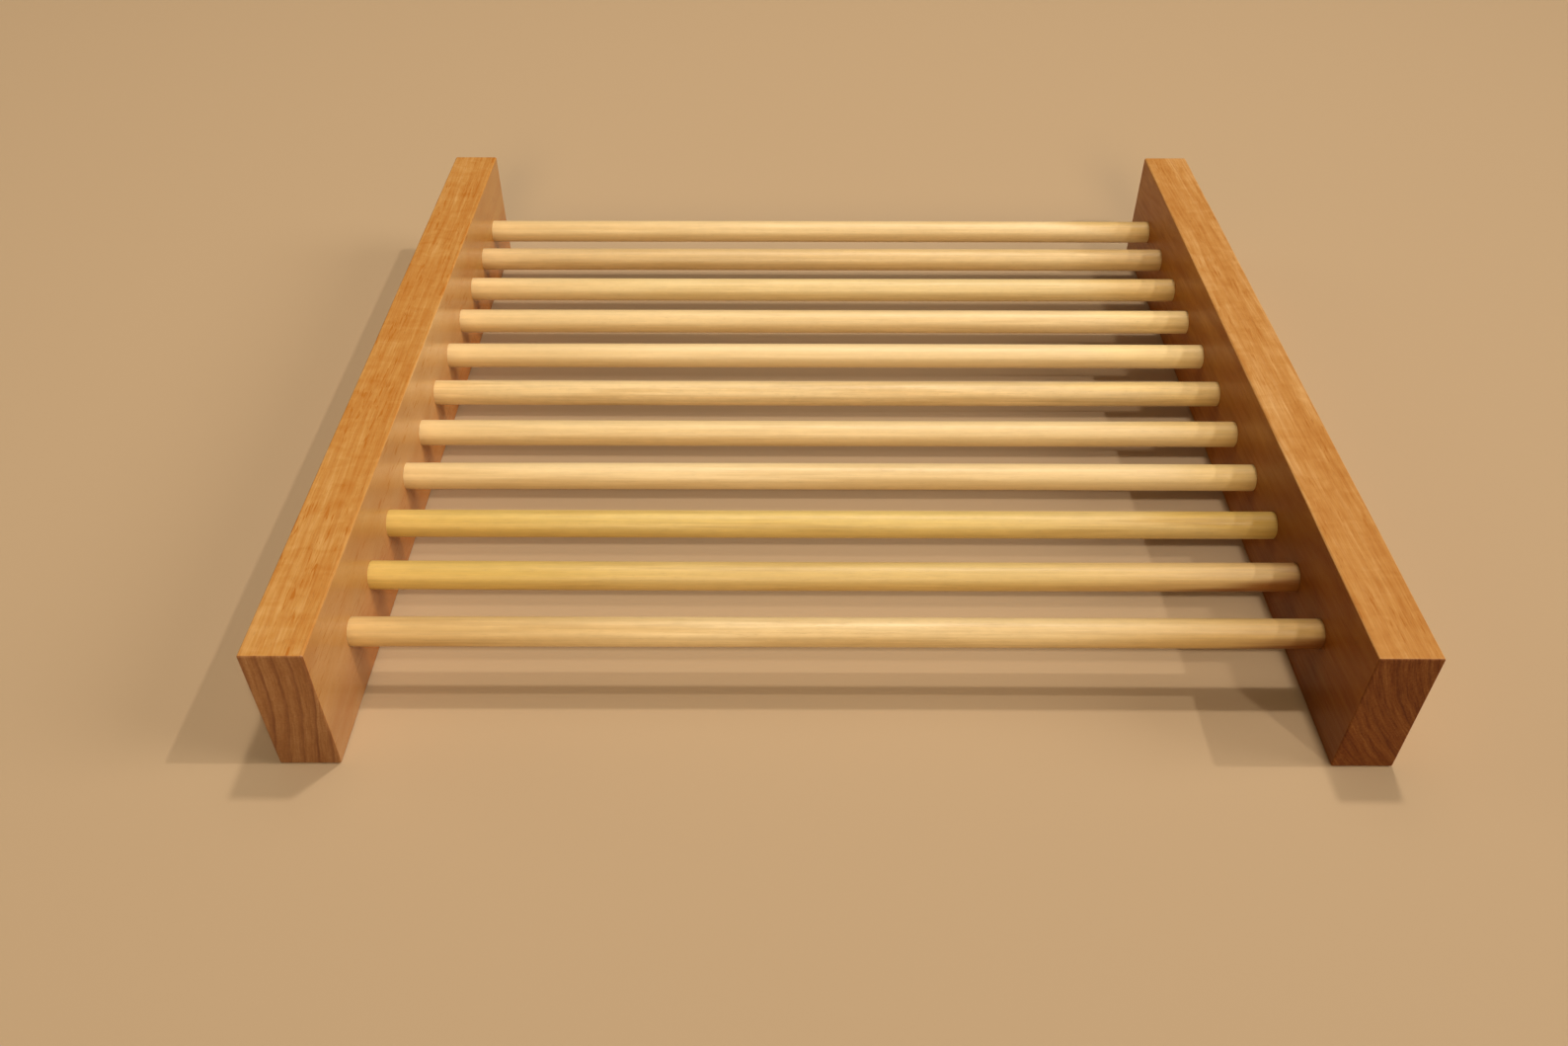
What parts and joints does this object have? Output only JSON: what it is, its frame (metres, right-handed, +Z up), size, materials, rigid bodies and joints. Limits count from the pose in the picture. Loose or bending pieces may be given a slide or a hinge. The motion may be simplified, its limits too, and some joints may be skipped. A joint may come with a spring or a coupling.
{
  "type": "wooden cooling rack",
  "caption": "Wooden cooling rack: upright side rails stand on edge and hold a row of round dowels between them, with air below the dowels and a lip above.",
  "frame": {"origin": "on the floor, under the middle of the rack", "axes": "+X along the dowels to the right, +Y along the rails from the front end to the back end, +Z up"},
  "size_m": [0.342, 0.3166, 0.0485],
  "materials": {
    "rail_wood": "satin, warm honey-orange hardwood with fine straight grain",
    "dowel_cream": "satin, cream dowel rod with faint lengthwise grain",
    "dowel_pale": "satin, pale dowel rod with faint lengthwise grain",
    "dowel_yellow": "satin, yellow-toned dowel rod with faint lengthwise grain"
  },
  "bodies": {
    "root": {"left_rail": "rail_wood", "right_rail": "rail_wood", "dowel_01": "dowel_cream", "dowel_02": "dowel_pale", "dowel_03": "dowel_yellow", "dowel_04": "dowel_cream", "dowel_05": "dowel_cream", "dowel_06": "dowel_pale", "dowel_07": "dowel_cream", "dowel_08": "dowel_cream", "dowel_09": "dowel_yellow", "dowel_10": "dowel_cream", "dowel_11": "dowel_cream"}
  },
  "joints": []
}
